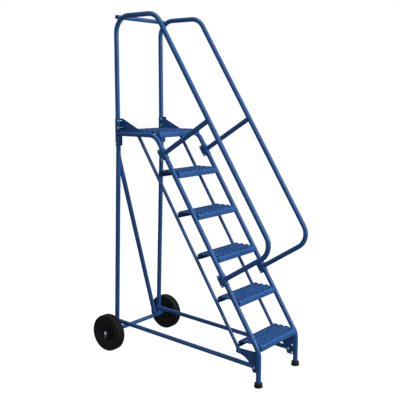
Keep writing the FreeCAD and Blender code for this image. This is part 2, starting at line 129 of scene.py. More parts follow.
SIDES = {"left": -1, "right": 1}
ACROSS = Vector((1, 0, 0))
BACK = Vector((0, 1, 0))
UP = Vector((0, 0, 1))
SLOPE = Vector((0, math.cos(STAIR_ANGLE), math.sin(STAIR_ANGLE)))
SLOPE_FRONT = Vector((0, -math.sin(STAIR_ANGLE), math.cos(STAIR_ANGLE)))


def middle(node):
    low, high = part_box(node)
    return (low + high) / 2


DATUM_Y = middle("left_foot").y
UPRIGHT_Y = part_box("left_handrail_socket")[1].y - STRAP_OUTER
AXLE = middle("axle_shaft") * Vector((0, 1, 1))


def from_datum(x, y, z):
    """A point whose y is measured back from the front legs."""
    return Vector((x, DATUM_Y + y, z))


def on_slope(along, ahead, x=-RAIL_X):
    """A point measured along the stair slope from the leg bend, and square to it."""
    return from_datum(x, 0, LEG_BEND_Z) + SLOPE * along + SLOPE_FRONT * ahead


def on_rear_leg(z):
    """The point at height z on the left rear leg's centre line, which ends on the axle's line."""
    lean = (AXLE.y - DATUM_Y - REAR_LEG_TOP_Y) / (REAR_LEG_TOP_Z - AXLE.z)
    return from_datum(-RAIL_X, REAR_LEG_TOP_Y + (REAR_LEG_TOP_Z - z) * lean, z)


# points on centre lines, on the left-hand side
REAR_LEG_TOP = on_rear_leg(REAR_LEG_TOP_Z)
REAR_LEG_FOOT = AXLE - ACROSS * RAIL_X
BASE_FRONT = from_datum(-BASE_X, 20 * MM, 114.8 * MM)
BASE_REAR = from_datum(-BASE_X, 1178 * MM, 185.2 * MM)
BASE_BOLT = from_datum(-BASE_X, 33 * MM, 115.6 * MM)


def flipped(point):
    """The same point on the ladder's right-hand side."""
    return Vector((-point.x, point.y, point.z))


# ------------------------------------------------------------------ materials
def node_material(name):
    """An empty node material with a Principled shader, and helpers to wire it."""
    material = bpy.data.materials.new(name)
    material.use_nodes = True
    tree = material.node_tree
    tree.nodes.clear()
    output = tree.nodes.new("ShaderNodeOutputMaterial")
    shader = tree.nodes.new("ShaderNodeBsdfPrincipled")
    tree.links.new(shader.outputs["BSDF"], output.inputs["Surface"])
    return material, tree, shader


def noise(tree, scale, detail=3.0):
    """Noise in object space, so that it has a real size in metres."""
    place = tree.nodes.new("ShaderNodeTexCoord")
    made = tree.nodes.new("ShaderNodeTexNoise")
    made.inputs["Scale"].default_value = scale
    made.inputs["Detail"].default_value = detail
    made.inputs["Roughness"].default_value = 0.55
    tree.links.new(place.outputs["Object"], made.inputs["Vector"])
    return made.outputs["Fac"]


def ramp(tree, value, low, high, out_low=0.0, out_high=1.0):
    made = tree.nodes.new("ShaderNodeMapRange")
    made.inputs["From Min"].default_value = low
    made.inputs["From Max"].default_value = high
    made.inputs["To Min"].default_value = out_low
    made.inputs["To Max"].default_value = out_high
    tree.links.new(value, made.inputs["Value"])
    return made.outputs["Result"]


def times(tree, first, second):
    made = tree.nodes.new("ShaderNodeMath")
    made.operation = "MULTIPLY"
    for socket, value in zip(made.inputs, (first, second)):
        if isinstance(value, float):
            socket.default_value = value
        else:
            tree.links.new(value, socket)
    return made.outputs["Value"]


def mix(tree, amount, first, second):
    """A colour between first and second, each a colour or a colour socket."""
    made = tree.nodes.new("ShaderNodeMix")
    made.data_type = "RGBA"
    tree.links.new(amount, made.inputs["Factor"])
    for socket, value in ((made.inputs[6], first), (made.inputs[7], second)):
        if isinstance(value, tuple):
            socket.default_value = (*value, 1.0)
        else:
            tree.links.new(value, socket)
    return made.outputs[2]


def edges(tree, radius):
    """1 on sharp edges and 0 on flat faces, from how far a rounded normal turns away."""
    softened = tree.nodes.new("ShaderNodeBevel")
    softened.samples = 4
    softened.inputs["Radius"].default_value = radius
    surface = tree.nodes.new("ShaderNodeNewGeometry")
    dot = tree.nodes.new("ShaderNodeVectorMath")
    dot.operation = "DOT_PRODUCT"
    tree.links.new(softened.outputs["Normal"], dot.inputs[0])
    tree.links.new(surface.outputs["Normal"], dot.inputs[1])
    on_flat, on_edge = 0.97, 0.80
    return ramp(tree, dot.outputs["Value"], on_flat, on_edge)


def bump(tree, shader, height, strength, distance):
    made = tree.nodes.new("ShaderNodeBump")
    made.inputs["Strength"].default_value = strength
    made.inputs["Distance"].default_value = distance
    tree.links.new(height, made.inputs["Height"])
    tree.links.new(made.outputs["Normal"], shader.inputs["Normal"])


def powder_coat():
    """Semi-gloss blue paint with fine orange peel, faint mottling and edges worn a little lighter."""
    material, tree, shader = node_material("blue_powder_coat_paint")
    broad = ramp(tree, noise(tree, 7.0), 0.35, 0.65)
    blue = mix(tree, broad, (0.0095, 0.070, 0.235), (0.0130, 0.086, 0.280))
    speck = ramp(tree, noise(tree, 420.0, 2.0), 0.62, 0.80, 0.0, 0.12)
    blue = mix(tree, speck, blue, (0.020, 0.105, 0.34))
    worn = times(tree, edges(tree, 0.9 * MM), ramp(tree, noise(tree, 60.0), 0.42, 0.60, 0.0, 0.22))
    blue = mix(tree, worn, blue, (0.035, 0.13, 0.34))
    tree.links.new(blue, shader.inputs["Base Color"])
    gloss = ramp(tree, noise(tree, 35.0), 0.3, 0.7, 0.40, 0.50)
    tree.links.new(gloss, shader.inputs["Roughness"])
    shader.inputs["Specular IOR Level"].default_value = 0.30
    shader.inputs["Coat Weight"].default_value = 0.05
    shader.inputs["Coat Roughness"].default_value = 0.2
    bump(tree, shader, noise(tree, 260.0, 2.0), 0.3, 0.06 * MM)
    return material


def zinc():
    """Bright zinc plate: mottled grey metal with a fine grain, and painted shade where it is closed in.
    """
    material, tree, shader = node_material("zinc_plated_steel")
    mottled = ramp(tree, noise(tree, 160.0, 4.0), 0.35, 0.65)
    grey = mix(tree, mottled, (0.58, 0.69, 0.88), (0.74, 0.84, 1.0))
    worn = times(tree, edges(tree, 0.4 * MM), 0.5)
    grey = mix(tree, worn, grey, (0.88, 0.88, 0.88))
    # painted shade: ambient occlusion turns the grey near black where nearby parts close the surface in
    painted_shade_cover = tree.nodes.new("ShaderNodeAmbientOcclusion")
    painted_shade_cover.samples = 8
    painted_shade_cover.inputs["Distance"].default_value = 30 * MM
    grey = mix(tree, ramp(tree, painted_shade_cover.outputs["AO"], 0.35, 0.75), (0.05, 0.06, 0.075), grey)
    tree.links.new(grey, shader.inputs["Base Color"])
    shader.inputs["Metallic"].default_value = 0.55
    rough = ramp(tree, noise(tree, 240.0), 0.3, 0.7, 0.24, 0.42)
    tree.links.new(rough, shader.inputs["Roughness"])
    bump(tree, shader, noise(tree, 900.0), 0.3, 0.03 * MM)
    return material


def dark_moulding(name, dark, light, rough_low, rough_high, grain, strength):
    """Black rubber or plastic with a fine moulded grain and faint dusty patches."""
    material, tree, shader = node_material(name)
    dusty = ramp(tree, noise(tree, 22.0, 5.0), 0.40, 0.72)
    black = mix(tree, dusty, dark, light)
    worn = times(tree, edges(tree, 1.0 * MM), 0.5)
    scuffed = tuple(2.2 * part for part in light)
    black = mix(tree, worn, black, scuffed)
    tree.links.new(black, shader.inputs["Base Color"])
    rough = ramp(tree, noise(tree, 70.0), 0.3, 0.7, rough_low, rough_high)
    tree.links.new(rough, shader.inputs["Roughness"])
    shader.inputs["Specular IOR Level"].default_value = 0.30
    bump(tree, shader, noise(tree, grain), strength, 0.15 * MM)
    return material


BLACK = (0.004, 0.004, 0.004)
DUSTY_BLACK = (0.008, 0.008, 0.008)
BY_SLOT = {
    "blue_powder_coat": powder_coat(),
    "zinc_steel": zinc(),
    "tyre_rubber": dark_moulding("tyre_rubber_black", BLACK, DUSTY_BLACK, 0.58, 0.74, 700.0, 0.25),
    "hub_black": dark_moulding("hub_moulding_black", BLACK, DUSTY_BLACK, 0.46, 0.60, 900.0, 0.12),
    "foot_rubber": dark_moulding("foot_rubber_black", BLACK, (0.009, 0.0085, 0.0085),
                                 0.60, 0.76, 600.0, 0.3),
    "bush_nylon": dark_moulding("bush_nylon_dark", (0.035, 0.035, 0.035), (0.055, 0.055, 0.055),
                                0.40, 0.55, 900.0, 0.1),
}


# ------------------------------------------------------------------ mesh helpers
def piece(name, mesh, body, slot, replaced=(), sharp_over=PLATE_SHARP):
    """A mesh becomes a shown piece: the material of its slot, smooth shading, a body, and the replaced
    CAD nodes hidden.
    """
    mesh.materials.clear()
    mesh.materials.append(BY_SLOT[slot])
    mesh.shade_smooth()
    mesh.set_sharp_from_angle(angle=math.radians(sharp_over))
    made = bpy.data.objects.new(name, mesh)
    bpy.context.scene.collection.objects.link(made)
    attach(made, body)
    if replaced:
        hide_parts(*replaced)
    return made


class Builder:
    """Collects vertices and faces for one mesh."""

    def __init__(self):
        self.points = []
        self.faces = []

    def add(self, point):
        self.points.append(tuple(point))
        return len(self.points) - 1

    def loop(self, points):
        return [self.add(p) for p in points]

    def circle(self, centre, first, second, radius, sides):
        """A round loop in the plane of two unit directions."""
        return self.loop(centre + (first * math.cos(t) + second * math.sin(t)) * radius
                         for t in full_turn(sides))

    def bridge(self, first, second, closed=True):
        """Quads between two loops of the same length."""
        count = len(first)
        for k in range(count if closed else count - 1):
            after = (k + 1) % count
            self.faces.append((first[k], first[after], second[after], second[k]))

    def cap_ends(self, loops):
        """Faces across the first loop, turned over, and across the last one."""
        self.faces.append(tuple(reversed(loops[0])))
        self.faces.append(tuple(loops[-1]))

    def skin(self, loops):
        """A closed skin over loops of the same length."""
        for a, b in zip(loops, loops[1:]):
            self.bridge(a, b)
        self.cap_ends(loops)

    def show(self, name, body, slot, replaced=(), sharp_over=ROUND_SHARP):
        """The collected faces as a shown piece."""
        mesh = bpy.data.meshes.new(name)
        mesh.from_pydata(self.points, [], self.faces)
        mesh.validate()
        mesh.update()
        return piece(name, mesh, body, slot, replaced, sharp_over)


def full_turn(count):
    """Evenly spaced angles round a circle."""
    return [2 * math.pi * k / count for k in range(count)]


def square_axes(direction):
    """Two directions square to the given one and to each other."""
    side = UP if abs(direction.dot(UP)) < 0.9 else ACROSS
    first = (side - direction * side.dot(direction)).normalized()
    return first, direction.cross(first)


def revolve(builder, outline, centre, axis, segments):
    """A closed outline of (along, radius) points turned round an axis."""
    first, second = square_axes(axis)
    loops = []
    for turn in full_turn(segments):
        out = first * math.cos(turn) + second * math.sin(turn)
        loops.append(builder.loop(centre + axis * a + out * r for a, r in outline))
    for a, b in zip(loops, loops[1:] + loops[:1]):
        builder.bridge(a, b)


def rounded(outline, radius, steps):
    """A closed outline with each corner turned into a short arc."""
    nearly_straight = math.radians(176)
    most_of_edge = 0.42
    result = []
    count = len(outline)
    for k, corner in enumerate(outline):
        here = Vector(corner)
        to_last = Vector(outline[k - 1]) - here
        to_next = Vector(outline[(k + 1) % count]) - here
        angle = to_last.angle(to_next)
        if angle > nearly_straight:
            result.append(tuple(here))
            continue
        setback = radius / math.tan(angle / 2)
        setback = min(setback, most_of_edge * to_last.length, most_of_edge * to_next.length)
        start = here + to_last.normalized() * setback
        end = here + to_next.normalized() * setback
        for step in range(steps + 1):
            t = step / steps
            result.append(tuple(start.lerp(here, t).lerp(here.lerp(end, t), t)))
    return result


def thicken(shown, thickness, offset):
    """A sheet gets its thickness: offset -1 puts it inside the drawn faces, and 0 half on each side."""
    sheet = shown.modifiers.new("sheet", "SOLIDIFY")
    sheet.thickness = thickness
    sheet.offset = offset


# ------------------------------------------------------------------ bolts and nuts
def hex_radius(turn):
    """Distance from the middle of a hexagon to its edge, in a direction."""
    return HEX_FLATS / 2 / math.cos((turn % math.radians(60)) - math.radians(30))


def hexagon_solid(builder, start, direction, height, bore=0.0):
    """A bolt's head with its corners turned at the far end, or a bored nut turned at both ends."""
    first, second = square_axes(direction)
    turns = full_turn(48)
    outs = [first * math.cos(t) + second * math.sin(t) for t in turns]
    chamfer = 0.5 * MM
    dish, dish_share = 0.25 * MM, 0.82

    def level(depth_of, radius_of):
        return builder.loop(start + direction * depth_of(t) + out * radius_of(t)
                            for t, out in zip(turns, outs))

    def flat(depth, radius):
        return level(lambda t: depth, lambda t: radius)

    def corner_cut(t):
        return (hex_radius(t) - HEX_CROWN) * HEX_CORNER_SLOPE

    if bore:
        loops = [flat(0.0, HEX_CROWN), level(corner_cut, hex_radius)]
    else:
        loops = [level(lambda t: 0.0, hex_radius)]
    loops += [level(lambda t: height - corner_cut(t), hex_radius), flat(height, HEX_CROWN)]
    if bore:
        loops += [flat(height, bore + chamfer), flat(height - chamfer, bore), flat(chamfer, bore),
                  flat(0.0, bore + chamfer)]
        for a, b in zip(loops, loops[1:] + loops[:1]):
            builder.bridge(a, b)
    else:
        loops.append(flat(height - dish, HEX_CROWN * dish_share))
        builder.skin(loops)


def threaded_rod(builder, start, direction, length, thread_from):
    """A bolt's shank, threaded from a given length to its chamfered tip."""
    tip, tip_chamfer = 0.8 * MM, 0.9 * MM
    outline = [(0.0, BOLT_R), (thread_from, BOLT_R)]
    at = thread_from
    while at + THREAD_PITCH < length - tip:
        for share, depth in ((0.25, THREAD_DEPTH), (0.40, THREAD_DEPTH), (0.80, 0.0), (1.0, 0.0)):
            outline.append((at + THREAD_PITCH * share, BOLT_R - depth))
        at += THREAD_PITCH
    outline += [(length - tip, BOLT_R), (length, BOLT_R - tip_chamfer)]
    first, second = square_axes(direction)
    builder.skin([builder.circle(start + direction * a, first, second, r, 24) for a, r in outline])


def add_bolt(builder, face, direction, grip):
    """A bolt whose head lies on a face, with a thread that starts part of the way along its grip."""
    hexagon_solid(builder, face, direction * -1, BOLT_HEAD)
    threaded_rod(builder, face, direction, grip + NUT_HEIGHT + THREAD_BEYOND,
                 grip * THREAD_FROM_SHARE)


def add_nut(builder, face, direction):
    hexagon_solid(builder, face, direction, NUT_HEIGHT, BOLT_R + BORE_CLEARANCE)


# ------------------------------------------------------------------ weld beads
def meeting_runs(start, direction, radius, host_start, host_direction, host_radius, limit=None):
    """Where a tube's surface first meets a host cylinder, as runs of points, and whether they close.

    The tube is followed from start along direction.  Points for which limit(point) is false, and
    lines along the tube that miss the host, split the line into open runs.
    """
    first, second = square_axes(direction)
    across_run = direction - host_direction * direction.dot(host_direction)
    a = across_run.dot(across_run)
    points = []
    for turn in full_turn(WELD_POINTS):
        base = start + (first * math.cos(turn) + second * math.sin(turn)) * radius
        gap = base - host_start
        across_gap = gap - host_direction * gap.dot(host_direction)
        b = 2 * across_run.dot(across_gap)
        under = b * b - 4 * a * (across_gap.dot(across_gap) - host_radius ** 2)
        point = base + direction * ((-b - math.sqrt(under)) / (2 * a)) if under >= 0 else None
        points.append(point if point and (limit is None or limit(point)) else None)
    if None not in points:
        return [points], True
    gap_at = points.index(None)
    runs = [[]]
    for point in points[gap_at:] + points[:gap_at]:
        if point is not None:
            runs[-1].append(point)
        elif runs[-1]:
            runs.append([])
    return [run for run in runs if len(run) > 3], False


def resample(points, spacing, closed):
    """Evenly spaced points along a polyline."""
    run = points + points[:1] if closed else points
    lengths = [0.0]
    for a, b in zip(run, run[1:]):
        lengths.append(lengths[-1] + (b - a).length)
    count = max(4, round(lengths[-1] / spacing))
    result = []
    index = 0
    for k in range(count if closed else count + 1):
        target = lengths[-1] * k / count
        while index < len(lengths) - 2 and lengths[index + 1] < target:
            index += 1
        span = max(lengths[index + 1] - lengths[index], 1e-9)
        result.append(run[index].lerp(run[index + 1], (target - lengths[index]) / span))
    return result


def add_bead(builder, points, closed):
    """A weld bead along a line, with the ripples of a hand-laid weld and tapered open ends."""
    spacing = 0.9 * MM
    ripple = 3.1 * MM
    line = resample(points, spacing, closed)
    count = len(line)
    sides = 8
    loops = []
    phase = random.random() * 6.28
    for k, point in enumerate(line):
        before = line[k - 1] if closed or k else line[0]
        after = line[(k + 1) % count] if closed or k < count - 1 else line[-1]
        first, second = square_axes((after - before).normalized())
        wave = abs(math.sin(math.pi * k * spacing / ripple + phase))
        size = WELD_R * (0.86 + 0.16 * wave + 0.05 * random.uniform(-1, 1))
        if not closed:
            size *= min(1.0, 0.35 + 0.25 * min(k, count - 1 - k))
        loops.append(builder.circle(point, first, second, size, sides))
    pairs = list(zip(loops, loops[1:]))
    if closed:
        pairs.append((loops[-1], loops[0]))
    for a, b in pairs:
        # the first direction may turn between neighbours, so loops are matched by distance
        start = min(range(sides), key=lambda s: (Vector(builder.points[a[0]])
                                                 - Vector(builder.points[b[s]])).length)
        builder.bridge(a, b[start:] + b[:start])
    if not closed:
        builder.cap_ends(loops)


# ------------------------------------------------------------------ treads
def arc_points(centre_a, centre_b, radius, start, end, steps):
    """Points on an arc in a plane, between two angles in degrees."""
    turns = [math.radians(start + (end - start) * k / steps) for k in range(steps + 1)]
    return [(centre_a + radius * math.cos(t), centre_b + radius * math.sin(t)) for t in turns]


def stringer_limit(y, z):
    """How far out a tread may reach at (y, z) before it meets the rear stringer."""
    foot = on_slope(0, -STRINGER_OFFSET)
    off = Vector((0, y - foot.y, z - foot.z)).dot(SLOPE_FRONT)
    radius = STRINGER_R + 2 * FIT_GAP
    if abs(off) >= radius:
        return NO_LIMIT
    return STRINGER_X - math.sqrt(radius ** 2 - off ** 2)


def platform_limit(y, z):
    """The platform ends above the stringers, and is cut back beside the handrail sockets."""
    if y > UPRIGHT_Y - STRAP_EAR - 2 * MM:
        return RAIL_X - STRAP_OUTER - 1 * MM
    return NO_LIMIT


def rib_lift(step):
    """Height of a pressed rib at a step along its length: ramps with a flat top between."""
    t = step / RIB_STEPS
    s = min(1.0, min(t, 1.0 - t) / RIB_RAMP)
    return RIB_RISE * s * s * (3 - 2 * s)


def tread_profile(front, rear, top, rows):
    """Points (y, z, step) round the sheet from front to rear; step is None away from the ribs."""
    bottom = top - TREAD_LIP
    bend = TREAD_BEND
    rising = ([(front + TREAD_RETURN, bottom)]
              + arc_points(front + bend, bottom + bend, bend, 270, 180, 4)
              + [(front, bottom + 12 * MM), (front, bottom + 18 * MM)]
              + arc_points(front + NOSE_RADIUS, top - NOSE_RADIUS, NOSE_RADIUS, 180, 90, 7)[:-1])
    drop = (TREAD_LIP - 2 * bend) / 6
    falling = (arc_points(rear - bend, top - bend, bend, 90, 0, 4)
               + [(rear, top - bend - drop * k) for k in range(1, 6)]
               + arc_points(rear - bend, bottom + bend, bend, 0, -90, 4)
               + [(rear - TREAD_RETURN, bottom)])
    first_row, last_row = front + FIRST_ROW, rear - LAST_ROW
    centres = [first_row + (last_row - first_row) * k / (rows - 1) for k in range(rows)]
    ribs = [(centre + RIB_HALF_LENGTH * (2 * step / RIB_STEPS - 1), top, step)
            for centre in centres for step in range(RIB_STEPS + 1)]
    return [(y, z, None) for y, z in rising] + ribs + [(y, z, None) for y, z in falling]


def make_tread(node, rows, limit):
    """A bent channel, open below, with front corner tabs and rows of toothed ribs pressed up in it."""
    low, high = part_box(node)
    front, rear, half_width, top = low.y, high.y, high.x, high.z

    lines = [(-half_width, "flat")]
    for column in range(RIB_COLUMNS):
        x = RIB_PITCH_X * (column - (RIB_COLUMNS - 1) / 2)
        lines += [(x - RIB_HALF_WIDTH, "flat"), (x - RIB_TOP_HALF_WIDTH, "tooth"), (x, "trough"),
                  (x + RIB_TOP_HALF_WIDTH, "tooth"), (x + RIB_HALF_WIDTH, "flat")]
    lines.append((half_width, "flat"))

    builder = Builder()
    profile = tread_profile(front, rear, top, rows)
    grid = []
    for x, kind in lines:
        line = []
        for y, z, step in profile:
            if step is not None and kind != "flat":
                z += rib_lift(step)
                if 1 < step < RIB_STEPS - 1:
                    z += RIB_TOOTH * (step % 2) if kind == "tooth" else -RIB_TROUGH
            line.append(builder.add((math.copysign(min(abs(x), limit(y, z)), x), y, z)))
        grid.append(line)
    for a, b in zip(grid, grid[1:]):
        builder.bridge(a, b, closed=False)
    add_corner_tabs(builder, front, top, half_width)
    shown = builder.show(node + "_sheet", "frame", "blue_powder_coat", (node,), SHEET_SHARP)
    thicken(shown, TREAD_SHEET, -1.0)


def add_corner_tabs(builder, front, top, half_width):
    """The tabs that close a tread's front corners beside the side rails, inside its bent sheet."""
    inset = 0.4 * MM
    columns, rows = 12, 6
    bottom = top - TREAD_LIP
    for side in (-1, 1):
        x = side * (half_width - FIT_GAP)
        grid = []
        for column in range(columns + 1):
            y = front + inset + (TREAD_TAB_DEPTH - inset) * column / columns
            turn = min(1.0, (y - front) / NOSE_RADIUS)
            corner = NOSE_RADIUS * (1 - math.sqrt(1 - (1 - turn) ** 2))
            low, high = bottom + inset + corner * 0.5, top - inset - corner
            grid.append(builder.loop((x, y, low + (high - low) * k / rows) for k in range(rows + 1)))
        for a, b in zip(grid, grid[1:]):
            builder.bridge(*((a, b) if side > 0 else (b, a)), closed=False)


for tread_number in range(1, 6):
    make_tread("step_" + str(tread_number), STEP_ROWS, stringer_limit)
make_tread("platform_tread", PLATFORM_ROWS, platform_limit)


# ------------------------------------------------------------------ CAD nodes shown as they are
def lay_bare_nodes():
    """CAD nodes that stay take the finish of their record slot."""
    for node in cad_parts.values():
        for material_slot in node.material_slots:
            material_slot.material = BY_SLOT[material_slot.material.name.split(".")[0]]


lay_bare_nodes()


# ------------------------------------------------------------------ straps
def make_strap(name, centre, along, open_side, stations, ears=(STRAP_EAR,)):
    """A bent strap round a side tube; `ears` says how far its ears reach in each stretch."""
    radius = RAIL_R + FIT_GAP + STRAP_SHEET / 2
    depths = sorted(set(ears), reverse=True)
    line = ([(-radius, depth) for depth in depths] + arc_points(0.0, 0.0, radius, 180, 360, 18)
            + [(radius, depth) for depth in reversed(depths)])
    builder = Builder()
    rows = []
    for station in stations:
        rows.append(builder.loop(centre + along * station + ACROSS * a + open_side * b
                                 for a, b in line))
    for ear, a, b in zip(ears, rows, rows[1:]):
        cut = depths.index(ear)
        for j in range(cut, len(line) - 1 - cut):
            builder.faces.append((a[j], a[j + 1], b[j + 1], b[j]))
    shown = builder.show(name + "_plate", "frame", "blue_powder_coat", (name,), PLATE_SHARP)
    thicken(shown, STRAP_SHEET, 0.0)
    edge = shown.modifiers.new("edges", "BEVEL")
    edge.width = 0.6 * MM
    edge.segments = 2
    edge.limit_method = "ANGLE"
    edge.angle_limit = math.radians(40)


saddle_half = SADDLE_LENGTH / 2
for side_name, sign in SIDES.items():
    for place_name, along in (("upper", UPPER_SADDLE_AT), ("lower", LOWER_SADDLE_AT)):
        make_strap(side_name + "_" + place_name + "_saddle", on_slope(along, 0, sign * RAIL_X), SLOPE,
                   SLOPE_FRONT * -1, (-saddle_half, saddle_half))
    socket = side_name + "_handrail_socket"
    socket_low, socket_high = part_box(socket)
    make_strap(socket, Vector((sign * RAIL_X, UPRIGHT_Y, 0)), UP, BACK * -1,
               (socket_low.z, *NOTCH_Z, socket_high.z), (LOWER_EAR, NOTCH_EAR, STRAP_EAR))


# ------------------------------------------------------------------ plates
def arc_through(first, second, third, steps):
    """Points on the circle through three (y, z) points, from the first to the third."""
    (ax, ay), (bx, by), (cx, cy) = first, second, third
    d = 2 * (ax * (by - cy) + bx * (cy - ay) + cx * (ay - by))
    sa, sb, sc = ax * ax + ay * ay, bx * bx + by * by, cx * cx + cy * cy
    mx = (sa * (by - cy) + sb * (cy - ay) + sc * (ay - by)) / d
    my = (sa * (cx - bx) + sb * (ax - cx) + sc * (bx - ax)) / d
    radius = math.hypot(ax - mx, ay - my)
    start = math.atan2(ay - my, ax - mx)
    end = math.atan2(cy - my, cx - mx)
    through = math.atan2(by - my, bx - mx)
    turn = (end - start) % (2 * math.pi)
    if (through - start) % (2 * math.pi) > turn:
        turn -= 2 * math.pi
    return [(mx + radius * math.cos(start + turn * k / steps),
             my + radius * math.sin(start + turn * k / steps)) for k in range(steps + 1)]


def make_plate(name, outline, low_x, high_x, holes=()):
    """A flat plate square to X from its (y, z) outline, with (y, z, radius) holes and soft edges."""
    edge = 0.5 * MM
    thickness = high_x - low_x
    curve = bpy.data.curves.new(name + "_outline", "CURVE")
    curve.dimensions = "2D"
    curve.fill_mode = "BOTH"
    curve.extrude = thickness / 2 - edge
    curve.bevel_depth = edge
    curve.bevel_resolution = 2
    curve.offset = -edge
    rims = [[(y + radius * math.cos(t), z + radius * math.sin(t)) for t in full_turn(28)]
            for y, z, radius in holes]
    for line in [outline] + rims:
        spline = curve.splines.new("POLY")
        spline.points.add(len(line) - 1)
        for point, (y, z) in zip(spline.points, line):
            point.co = (y, z, 0, 1)
        spline.use_cyclic_u = True
    drawn = bpy.data.objects.new(name + "_outline", curve)
    mesh = bpy.data.meshes.new_from_object(drawn)
    bpy.data.objects.remove(drawn)
    turn = Matrix(((0, 0, 1, low_x + thickness / 2), (1, 0, 0, 0), (0, 1, 0, 0), (0, 0, 0, 1)))
    mesh.transform(turn)
    piece(name + "_plate", mesh, "frame", "blue_powder_coat", (name,))


def make_platform_gusset(name):
    """A triangle standing on the platform's edge, with its upright edge at the socket."""
    low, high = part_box(name)
    make_plate(name, [(low.y, low.z), (high.y, low.z), (high.y, high.z)], low.x, high.x)


def make_front_gusset(name):
    """A gusset with a square front edge, a rounded toe and a hollow rear edge, and three holes."""
    low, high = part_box(name)
    corner = 12 * MM
    toe_y = DATUM_Y + 56 * MM
    heel = (high.y, 180 * MM)
    hollow_middle = (DATUM_Y + 92 * MM, 146 * MM)
    hollow = arc_through((heel[0] - corner, heel[1] - 3 * MM), hollow_middle,
                         (toe_y + 4 * MM, low.z + 2 * corner), 14)
    inset = corner * (1 - math.sqrt(0.5))
    toe = arc_through((toe_y, low.z + corner), (toe_y - inset, low.z + inset),
                      (toe_y - corner, low.z), 6)
    hole_y, hole_r, bolt_hole_r = DATUM_Y + 15.5 * MM, 4.5 * MM, 4.3 * MM
    make_plate(name, [(low.y, high.z), (high.y, high.z), heel] + hollow + toe + [(low.y, low.z)],
               low.x, high.x, [(hole_y, 87.8 * MM, hole_r), (hole_y, 139 * MM, hole_r),
                               (BASE_BOLT.y, BASE_BOLT.z, bolt_hole_r)])


for side_name in SIDES:
    make_platform_gusset(side_name + "_platform_gusset")
for side_name in SIDES:
    make_front_gusset(side_name + "_front_gusset")


# ------------------------------------------------------------------ fasteners
def fastener_group(name, places, direction, before, grip):
    """A group's bolts and nuts on both sides; each head lies a length `before` its place."""
    bolts = Builder()
    nuts = Builder()
    for place in places:
        head = place - direction * before
        for face, way in ((head, direction), (flipped(head), flipped(direction))):
            add_bolt(bolts, face, way, grip)
            add_nut(nuts, face + way * grip, way)
    for builder, kind in ((bolts, "_bolts"), (nuts, "_nuts")):
        builder.show(name + kind + "_zinc", "frame", "zinc_steel", (name + kind,), PLATE_SHARP)


def make_guard_bar_bolts():
    """The bolts through the handrails' rear bends and the guard bar, square to the bends."""
    bend_out = Vector((0, math.cos(GUARD_BAR_TURN), math.sin(GUARD_BAR_TURN)))
    handrail_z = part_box("left_handrail")[1].z - RAIL_R
    bend_centre = Vector((-RAIL_X, UPRIGHT_Y - HANDRAIL_BEND, handrail_z - HANDRAIL_BEND))
    head_clearance = 0.5 * MM
    fastener_group("guard_bar", [bend_centre + bend_out * HANDRAIL_BEND], bend_out,
                   RAIL_R + head_clearance, 2 * RAIL_R + 2 * CROSSWISE_R + FIT_GAP + head_clearance)


saddle_places = [on_slope(along + half * SADDLE_BOLT_SPACING, -STRAP_BOLT_AT)
                 for along in (LOWER_SADDLE_AT, UPPER_SADDLE_AT) for half in (-0.5, 0.5)]
socket_places = [Vector((-RAIL_X, UPRIGHT_Y - STRAP_BOLT_AT, z)) for z in SOCKET_BOLT_Z]
for group_name, places, outer in (("saddle", saddle_places, STRAP_OUTER),
                                  ("socket", socket_places, STRAP_OUTER),
                                  ("rear_leg", [on_rear_leg(LEG_BOLT_Z)], STRAP_OUTER),
                                  ("base_rail", [BASE_BOLT], CROSSWISE_R + FIT_GAP)):
    fastener_group(group_name, places, ACROSS, outer, 2 * outer)
make_guard_bar_bolts()


# ------------------------------------------------------------------ feet and wheels
def mirrored(side):
    """The other half of a wheel's (along, radius) outline."""
    return [(-a, r) for a, r in reversed(side)]


def make_foot(side_name):
    """A rubber tip with a bead round its mouth and two grip grooves above the floor."""
    node = side_name + "_foot"
    low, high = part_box(node)
    outer = (high.x - low.x) / 2
    mouth = high.z
    sole, bore, axis_gap = 6 * MM, RAIL_R + FIT_GAP, 0.5 * MM
    dish_depth, dish_r = 0.4 * MM, 6 * MM
    outline = [(dish_depth, axis_gap), (dish_depth, dish_r), (0, dish_r + 2 * MM), (0, outer)]
    groove = ((0.0, 0.0), (0.6 * MM, 1.0 * MM), (2.0 * MM, 1.1 * MM), (2.6 * MM, 0.3 * MM))
    for start, taper in ((5 * MM, 0.0), (10 * MM, 0.5 * MM)):
        outline += [(start + up, outer - taper - depth) for up, depth in groove]
    mouth_bead = ((7 * MM, 2.0 * MM), (6 * MM, 1.2 * MM), (0.0, 1.4 * MM))
    outline += [(mouth - down, outer - depth) for down, depth in mouth_bead]
    outline += [(mouth, bore), (sole, bore), (sole, axis_gap)]
    centre = Vector(((low.x + high.x) / 2, (low.y + high.y) / 2, 0))
    builder = Builder()
    revolve(builder, rounded(outline, 1.0 * MM, 3), centre, UP, 72)
    builder.show(node + "_tip", "frame", "foot_rubber", (node,))


